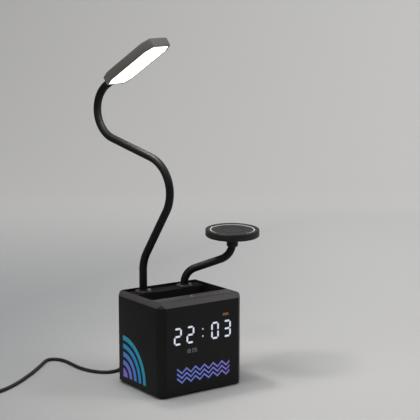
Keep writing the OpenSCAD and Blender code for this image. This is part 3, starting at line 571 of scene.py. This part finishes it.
finishes = {
    "housingBlack": printedHousing("housingBlack", (0.0056, 0.0049, 0.006)),
    "faceBlack": printedFace("faceBlack", (0.0046, 0.0042, 0.0048)),
    "deckGrey": deckPlastic("deckGrey", deckPlan),
    "plateBlack": moulded("plateBlack", (0.02, 0.02, 0.02), rough=0.55),
    "steel": metal("steel", (0.62, 0.62, 0.64), rough=0.3),
    "gripRubber": soft("gripRubber", (0.02, 0.02, 0.02), rough=0.75),
    "boardGreen": board("boardGreen"),
    "litBar": lit("litBar", (0.75, 0.8, 0.95), strength=0.72, core=(0.84, 0.89, 1.0), body=0.25),
    "litDot": lit("litDot", (0.7, 0.72, 0.85), strength=0.55, body=0.25),
    "darkBar": moulded("darkBar", (0.008, 0.008, 0.0085), rough=0.4, grain=0.1),
    "dimFigure": lit("dimFigure", (0.3, 0.3, 0.42), strength=0.34, body=0.5),
    "dayOrange": lit("dayOrange", (0.62, 0.26, 0.08), strength=0.36, body=0.4),
    "statusWhite": lit("statusWhite", (0.9, 0.92, 0.95), strength=0.9),
    # on pad_ring this faint glow is painted sheen, standing in for the shine of the ring
    "keyWhite": lit("keyWhite", (0.55, 0.55, 0.56), strength=0.05),
    "keyGrey": moulded("keyGrey", (0.06, 0.06, 0.062), rough=0.4, grain=0.1),
    "buttonBlack": moulded("buttonBlack", (0.018, 0.018, 0.019), rough=0.45),
    "seatGrey": moulded("seatGrey", (0.03, 0.03, 0.032), rough=0.38, grain=0.1),
    "conduitSteel": metal("conduitSteel", (0.4, 0.4, 0.41), rough=0.35),
    "sleeveBlack": soft("sleeveBlack", (0.0038, 0.0034, 0.0038), rough=0.46, gloss=0.24, bloom=0.001),
    # painted light: the head's plastic is made mid-grey to stand in for the lamp's glare round it
    "headPaintedGlare": moulded("headPaintedGlare", (0.19, 0.183, 0.165), rough=0.5, grain=0.3),
    "lampWhite": lit("lampWhite", (1.0, 0.93, 0.82), strength=2.5, core=(1.0, 0.96, 0.88)),
    "padBlack": moulded("padBlack", (0.017, 0.0162, 0.0165), rough=0.48),
    "copperWire": metal("copperWire", (0.72, 0.38, 0.2), rough=0.3),
    "cordBlack": soft("cordBlack", (0.012, 0.012, 0.013), rough=0.5),
    "plugBlack": moulded("plugBlack", (0.014, 0.014, 0.015), rough=0.5),
    "shellSteel": metal("shellSteel", (0.7, 0.7, 0.72), rough=0.25),
}
nodesOfFinish = {
    "housingBlack": ["housing"],
    "faceBlack": ["front_panel"],
    "deckGrey": ["pen_well"],
    "plateBlack": ["base_plate"],
    "steel": ["ballast_plate", "base_screws", "coin_cell", "socket_nuts", "socket_screws", "head_ferrule",
              "head_screws"],
    "gripRubber": ["grip_pad", "cord_tie"],
    "boardGreen": ["main_board", "clock_board", "touch_board", "button_board"],
    "litBar": ["digit_1", "digit_2", "digit_3", "digit_4"],
    "litDot": ["colon_dots"],
    "darkBar": ["dark_bars", "date_window", "day_window"],
    "statusWhite": ["status_light"],
    "keyWhite": ["led_board", "pad_ring"],
    "keyGrey": ["power_key"],
    "buttonBlack": ["set_button", "up_button", "down_button"],
    "seatGrey": ["lamp_socket", "pad_socket", "lamp_swivel", "pad_swivel"],
    "conduitSteel": ["lamp_conduit_1", "lamp_conduit_2", "lamp_conduit_3", "lamp_conduit_4",
                     "pad_conduit_1", "pad_conduit_2", "pad_conduit_3"],
    "sleeveBlack": ["lamp_sleeve", "pad_sleeve"],
    "headPaintedGlare": ["head_cover", "head_frame"],
    "lampWhite": ["diffuser"],
    "padBlack": ["pad_hub", "pad_dish", "pad_top"],
    "copperWire": ["charge_coil"],
    "cordBlack": ["power_cord", "cord_coil", "cord_tail"],
    "plugBlack": ["inlet_plug", "supply_plug"],
    "shellSteel": ["usb_socket", "supply_shell"],
}
finishOfNode = {node: finish for finish, dressed in nodesOfFinish.items() for node in dressed}
for node, finish in finishOfNode.items():
    nodes[node].data.materials.clear()
    nodes[node].data.materials.append(finishes[finish].material)
print("finishes made:", len(finishes))


# edges that are rounded: the width in metres, and its steps
softened = {
    "housing": (0.0006, 3),
    "pen_well": (0.0005, 3),
    "head_cover": (0.0011, 3),
    "head_frame": (0.0003, 2),
    "base_plate": (0.0004, 2),
    "grip_pad": (0.0003, 2),
    "inlet_plug": (0.0004, 2),
    "supply_plug": (0.0005, 2),
    "supply_shell": (0.00015, 2),
    "cord_tie": (0.0002, 1),
    "pad_dish": (0.0003, 2),
    "pad_hub": (0.0003, 2),
    "lamp_socket": (0.0002, 2),
    "pad_socket": (0.0002, 2),
}
for node, (width, steps) in softened.items():
    bevelled(node, width, steps)
print("edges softened:", len(softened))


# the route is in mm, what else has a length is in metres
cordPlan = {
    "diameter": 0.0035,
    "sides": 14,
    "routeSteps": 5,
    "heading": 200,  # degrees, where the cord meets the coil
    "turns": 2.75,
    "turnSteps": 36,
    "turnGap": 0.0005,
    "coilDiameters": 5.5,  # radius of the coil's middle turn, in cord diameters
    "tail": 0.018,
    "tailSteps": 4,
    "plugLie": 0.0041,  # height of the plug's middle over the table
    "route": [
        (-5, 64.3, 10.5), (-5, 67.8, 10.5), (-7, 73, 9.5), (-13, 76, 7.5), (-20, 74, 5), (-27, 70, 3),
        (-34, 67, 2), (-42, 67, 1.8), (-49, 71, 1.8), (-55, 79, 1.8), (-59, 90, 1.8), (-61, 103, 1.8),
        (-61, 116, 1.8), (-61, 128, 1.8), (-63, 138, 1.8), (-68, 144.5, 1.8), (-75, 145, 1.8),
        (-82, 139.5, 1.8), (-92, 129, 1.8), (-102, 119, 1.8), (-112, 109.5, 1.8), (-122, 101, 1.8),
        (-132, 92.5, 1.8), (-142, 85, 1.8), (-152, 78.5, 1.8), (-163, 73, 2.0), (-173.4, 69.2, 2.5),
        (-182.8, 65.8, 2.5),
    ],
}


def curveThrough(points, steps):
    # smooth line through given points
    smooth = []
    for i in range(len(points) - 1):
        before = points[max(i - 1, 0)]
        here, there = points[i], points[i + 1]
        after = points[min(i + 2, len(points) - 1)]
        for k in range(steps):
            t = k / steps
            slope = there - before
            bend = 2 * before - 5 * here + 4 * there - after
            change = 3 * here - before - 3 * there + after
            smooth.append(0.5 * (2 * here + slope * t + bend * t ** 2 + change * t ** 3))
    smooth.append(points[-1])
    return smooth


def cordPath(plan):
    # along the table, inwards round the coil, outwards again on top of it and down to the plug
    thick = plan["diameter"]
    route = [Vector(p) / 1000 for p in plan["route"]]
    path = curveThrough(route, plan["routeSteps"])
    heading = math.radians(plan["heading"])
    along = Vector((math.cos(heading), math.sin(heading), 0))
    pitch = thick + plan["turnGap"]
    outer = plan["coilDiameters"] * thick + pitch * (plan["turns"] + 0.25) / 2
    loops = 2 * plan["turns"] + 0.5
    start = route[-1] + along * thick
    centre = start + outer * Vector((math.sin(heading), -math.cos(heading), 0))
    for k in range(int(loops * plan["turnSteps"]) + 1):
        t = k / plan["turnSteps"]
        angle = heading + math.pi / 2 - 2 * math.pi * t
        radius = outer - pitch * min(t, loops - t)
        rise = pitch * max(0, min(1, (t - plan["turns"]) / 0.5))
        path.append(centre + Vector((radius * math.cos(angle), radius * math.sin(angle), rise)))
    last = path[-1]
    drop = plan["plugLie"] - last.z
    # shares of the tail, and how far it has sunk there
    falls = [(0, 0), (0.2, 0), (0.5, -0.0006), (0.8, drop), (1, drop)]
    tail = [last + along * (thick + share * plan["tail"]) + Vector((0, 0, fall)) for share, fall in falls]
    return path + curveThrough(tail, plan["tailSteps"])


path = cordPath(cordPlan)
length = sum((b - a).length for a, b in zip(path, path[1:]))
cord = tube("powerLead", path, cordPlan["diameter"] / 2, cordPlan["sides"], finishes["cordBlack"])
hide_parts("power_cord", "cord_coil", "cord_tail")
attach(cord, "base")
print("cord laid: %.3f m" % length)


# in mm and degrees: a run is a straight length with 0, or a bend's radius with its angle
lampNeck = {
    "foot": (-25, 28, 92),
    "heading": -75,
    "skip": 2.8,  # the sleeve starts this far above the foot
    "below": 8,  # the winding starts this far below it
    "beyond": 11.3,  # and ends this far past the sleeve
    "run": [(22, 0), (37, 31), (51, 0), (36, -104), (54.5, 0), (30, 132), (9.7, 0)],
    "bodies": ["lamp_post", "lamp_stem", "lamp_arm", "lamp_head"],
    "nodes": ["lamp_conduit_1", "lamp_conduit_2", "lamp_conduit_3", "lamp_conduit_4"],
    "sleeve": "lamp_sleeve",
}
padNeck = {
    "foot": (25, 28, 92),
    "heading": -30,
    "skip": 2.8,
    "below": 8,
    "beyond": 3.3,
    "run": [(3.2, 0), (16.5, 72), (28, 0), (17.5, -72), (0.9, 0)],
    "bodies": ["pad_post", "pad_arm", "pad_head"],
    "nodes": ["pad_conduit_1", "pad_conduit_2", "pad_conduit_3"],
    "sleeve": "pad_sleeve",
}
neckSizes = {
    "sleeveRadius": 4.0,
    "sleeveWall": 1.2,
    "sleeveSides": 28,
    "windingRadius": 2.35,
    "windingSides": 12,
    "windingPitch": 1.6,
    "windingGroove": 0.12,
    "straightStep": 4,
    "bendStep": 1.5,
    "fewestSteps": 6,
}


def arcEnd(reach, height, lean, radius, angle):
    # the far end of an arc that sets off with a lean from upright, bending by an angle
    to = lean + angle
    return (reach + radius * (math.cos(lean) - math.cos(to)),
            height + radius * (math.sin(to) - math.sin(lean)))


def neckPoints(neck):
    # centre line, with the run's number at each point
    reach, height, lean = 0.0, 0.0, 0.0
    points = [(reach, height + neck["skip"], 0)]
    for index, (size, angle) in enumerate(neck["run"]):
        if angle == 0:
            count = max(1, round(size / neckSizes["straightStep"]))
            first = (1 + int(neck["skip"] / (size / count))) if index == 0 else 1
            for k in range(first, count + 1):
                along = size * k / count
                points.append((reach + along * math.sin(lean), height + along * math.cos(lean), index))
            reach += size * math.sin(lean)
            height += size * math.cos(lean)
        else:
            bend = math.radians(angle)
            radius = math.copysign(size, bend)
            count = max(neckSizes["fewestSteps"], round(abs(bend) * size / neckSizes["bendStep"]))
            for k in range(1, count + 1):
                points.append((*arcEnd(reach, height, lean, radius, bend * k / count), index))
            reach, height = arcEnd(reach, height, lean, radius, bend)
            lean += bend
    heading = math.radians(neck["heading"])
    across, deep = math.cos(heading), math.sin(heading)
    foot = Vector(neck["foot"])
    return [((foot + Vector((r * across, r * deep, h))) / 1000, index) for r, h, index in points]


def splitNeck(neck):
    # lengths from the middle of one straight stretch to the middle of the next, each with one bend
    points = neckPoints(neck)
    line = [point for point, index in points]

    def placesIn(run):
        return [k for k, (point, index) in enumerate(points) if index == run]

    bends = [k for k, (size, angle) in enumerate(neck["run"]) if angle != 0]
    cuts = []
    for one, other in zip(bends, bends[1:]):
        between = placesIn((one + other) // 2)
        cuts.append(between[len(between) // 2])
    ends = [0] + cuts + [len(line) - 1]
    lengths = []
    for bend, near, far in zip(bends, ends, ends[1:]):
        inside = placesIn(bend)
        lengths.append((line[near:far + 1], line[inside[0] - 1], line[inside[-1]]))
    return lengths


def windingLine(neck, line, first, last):
    # the winding runs on into the swivel below and into the clamp at the far end
    whole = list(line)
    if first:
        whole.insert(0, line[0] - Vector((0, 0, (neck["skip"] + neck["below"]) / 1000)))
    if last:
        whole.append(line[-1] + (line[-1] - line[-2]).normalized() * neck["beyond"] / 1000)
    return whole


sleeveRadius, sleeveWall = neckSizes["sleeveRadius"] / 1000, neckSizes["sleeveWall"] / 1000
windingInputs = {
    "Radius": neckSizes["windingRadius"] / 1000,
    "Sides": neckSizes["windingSides"],
    "Pitch": neckSizes["windingPitch"] / 1000,
    "Groove": neckSizes["windingGroove"],
}
for label, neck in (("lamp", lampNeck), ("pad", padNeck)):
    lengths = splitNeck(neck)
    for n, (line, start, end) in enumerate(lengths):
        skin = tube("%sSleeve%d" % (label, n + 1), line, sleeveRadius, neckSizes["sleeveSides"],
                    finishes["sleeveBlack"], sleeveWall)
        inner = windingLine(neck, line, n == 0, n == len(lengths) - 1)
        core = alongLine("%sWinding%d" % (label, n + 1), inner, oneLine(inner), windingMaker,
                         finishes["conduitSteel"], windingInputs)
        if n == 0:
            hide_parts(neck["sleeve"])
        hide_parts(*(neck["nodes"][:2] if n == 0 else neck["nodes"][n + 1:n + 2]))
        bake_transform(skin, neck["bodies"][n], neck["bodies"][n + 1], tuple(start), tuple(end))
        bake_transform(core, neck["bodies"][n], neck["bodies"][n + 1], tuple(start), tuple(end))
print("goosenecks bent")


# small figures in the two windows: sizes in metres, thick is half a bar's width
figures = {
    "front": -0.04198,
    "sides": 8,
    "date": {
        "text": "1805",
        "left": [-0.0203, -0.0172, -0.0126, -0.0095],
        "level": 0.0448,
        "width": 0.0019,
        "height": 0.0036,
        "thick": 0.00022,
        "gap": 0.12,  # at both ends of a bar, as a share of its length
        "dot": 0.0002,
    },
    "day": {
        "left": [0.0242, 0.0266, 0.0290],
        "level": 0.0756,
        "apart": 0.00102,
        "height": 0.0024,
        "thick": 0.0003,
    },
}
barsOfFigure = {"0": "abcdef", "1": "bc", "5": "acdfg", "8": "abcdefg"}


def figureBars(plan):
    # centre lines of the lit bars, with a gap at both ends, and the dot in the middle
    lines = []
    w, h, gap = plan["width"], plan["height"] / 2, plan["gap"]
    ends = {
        "a": ((0, h), (w, h)),
        "b": ((w, 0), (w, h)),
        "c": ((w, -h), (w, 0)),
        "d": ((0, -h), (w, -h)),
        "e": ((0, -h), (0, 0)),
        "f": ((0, 0), (0, h)),
        "g": ((0, 0), (w, 0)),
    }
    for left, sign in zip(plan["left"], plan["text"]):
        for bar in barsOfFigure[sign]:
            (x0, z0), (x1, z1) = ends[bar]
            across, rise = (x1 - x0) * gap, (z1 - z0) * gap
            lines.append(((left + x0 + across, plan["level"] + z0 + rise),
                          (left + x1 - across, plan["level"] + z1 - rise)))
    centre = (plan["left"][1] + w + plan["left"][2]) / 2
    foot, half = plan["level"] - h, plan["dot"] / 2
    lines.append(((centre - half, foot), (centre + half, foot)))
    return lines


def dayBars(plan):
    # short upright bars in pairs
    low, high = plan["level"] - plan["height"] / 2, plan["level"] + plan["height"] / 2
    return [((x, low), (x, high)) for left in plan["left"] for x in (left, left + plan["apart"])]


def faceMarks(name, lines, thick, finish):
    ends = [(x, figures["front"], z) for pair in lines for x, z in pair]
    pairs = [(2 * k, 2 * k + 1) for k in range(len(lines))]
    sizes = {"Radius": thick, "Sides": figures["sides"], "Closed": True}
    made = alongLine(name, ends, pairs, tubeMaker, finish, sizes)
    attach(made, "base")
    return made


date, day = figures["date"], figures["day"]
dateFigures = faceMarks("dateFigures", figureBars(date), date["thick"], finishes["dimFigure"])
dayMarks = faceMarks("dayMarks", dayBars(day), day["thick"], finishes["dayOrange"])
print("small figures lit")


# a paper sweep: floor and backdrop in one, with painted shade darkening the near left and the rest paler
stagePlan = {
    "halfWidth": 5.0,
    "front": -3.5,
    "back": 3.0,
    "height": 4.2,
    "sweep": 1.6,
    "sweepSteps": 16,
    "turn": -35.34,
    "tone": (0.61, 0.604, 0.596),
    # the near-left colour is painted shade; paleAcross, paleBack and palestInFront set where that shade
    # fades
    "paintedShadeNearLeft": (0.325, 0.332, 0.34),
    "paleAcross": (-0.35, 0.3),
    "paleBack": (0.1, 1.5),
    "palestInFront": 0.8,
}


def makeStage(plan):
    bend = plan["sweep"]
    profile = [(plan["front"], 0.0), (plan["back"] - bend, 0.0)]
    for k in range(1, plan["sweepSteps"] + 1):
        angle = math.pi / 2 * k / plan["sweepSteps"]
        profile.append((plan["back"] - bend + bend * math.sin(angle), bend * (1 - math.cos(angle))))
    profile.append((plan["back"], plan["height"]))
    verts, faces = [], []
    for y, z in profile:
        verts += [(-plan["halfWidth"], y, z), (plan["halfWidth"], y, z)]
    for k in range(len(profile) - 1):
        faces.append((2 * k, 2 * k + 1, 2 * k + 3, 2 * k + 2))
    mesh = bpy.data.meshes.new("paperSweep")
    mesh.from_pydata(verts, [], faces)
    paper = Finish("paperGrey")
    x, y, z = paper.axes()
    # painted shade: these shares keep the near-left colour at the near left and fade it out across and
    # towards the back
    unshadedAcross = x.ramped(*plan["paleAcross"], 0.0, plan["palestInFront"])
    unshadedShare = unshadedAcross.maths("MAXIMUM", y.ramped(*plan["paleBack"]))
    unshadedMottled = unshadedShare + paper.noise(scale=1.6) * 0.06
    paper.set(Base_Color=paper.mix(unshadedMottled, plan["paintedShadeNearLeft"], plan["tone"]),
              Roughness=0.9, Specular_IOR_Level=0.2)
    sweep = asObject("paperSweep", mesh, paper, smooth=60)
    sweep.matrix_world = Matrix.Rotation(math.radians(plan["turn"]), 4, "Z")


makeStage(stagePlan)

# places are counted from the object: to the right, away from the camera, and up
lamps = {
    "skyPanel": {"at": (-0.5, 0.1, 2.5), "to": (0.3, 0.5, 0), "size": (1.6, 1.4), "watts": 35},
    "frontPanel": {"at": (-0.5, -2.4, 2.3), "to": (0, 0, 0.25), "size": (0.9, 0.7), "watts": 14},
    "rightPanel": {"at": (2.3, -0.3, 1.7), "to": (0.9, 0.4, 0.1), "size": (0.7, 1.2), "watts": 20},
    "leftPanel": {"at": (-2.2, -1.8, 1.2), "to": (0, 0, 0.2), "size": (0.6, 0.8), "watts": 9},
    "wallPanel": {"at": (2.0, 0.7, 2.3), "to": (1.7, 3.0, 0.9), "size": (1.6, 0.8), "watts": 36},
}
# the camera's two directions over the floor
toRight = Vector(camera["right"])
toBack = Vector((-toRight.y, toRight.x, 0))


def fromCamera(spot):
    return toRight * spot[0] + toBack * spot[1] + Vector((0, 0, spot[2]))


def areaLight(name, watts, place, facing):
    light = bpy.data.lights.new(name, "AREA")
    light.energy = watts
    holder = bpy.data.objects.new(name, light)
    bpy.context.scene.collection.objects.link(holder)
    holder.location = place
    holder.rotation_euler = facing.to_track_quat("-Z", "Y").to_euler()
    return holder


for name, plan in lamps.items():
    place = fromCamera(plan["at"])
    panel = areaLight(name, plan["watts"], place, fromCamera(plan["to"]) - place)
    panel.data.shape = "RECTANGLE"
    panel.data.size, panel.data.size_y = plan["size"]


def middle(name):
    # middle of a solid's box
    corners = [nodes[name].matrix_world @ Vector(c) for c in nodes[name].bound_box]
    return sum(corners, Vector()) / 8


# the lamp's own light, which stays with the head
headGlow = {
    "across": 0.04,
    "watts": 0.26,
    "colour": (1.0, 0.95, 0.86),
    "below": 0.004,
}
outward = (middle("head_frame") - middle("head_cover")).normalized()
place = middle("head_frame") + outward * headGlow["below"]
glow = areaLight("headGlow", headGlow["watts"], place, outward)
glow.data.shape = "DISK"
glow.data.size = headGlow["across"]
glow.data.color = headGlow["colour"]
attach(glow, "lamp_head")

roomLight = {"colour": (0.75, 0.76, 0.78, 1), "strength": 0.09}
world = bpy.data.worlds.new("room")
bpy.context.scene.world = world
world.use_nodes = True
sky = world.node_tree.nodes["Background"]
sky.inputs[0].default_value = roomLight["colour"]
sky.inputs[1].default_value = roomLight["strength"]
bpy.context.scene.view_settings.view_transform = "Standard"
print("stage lit")
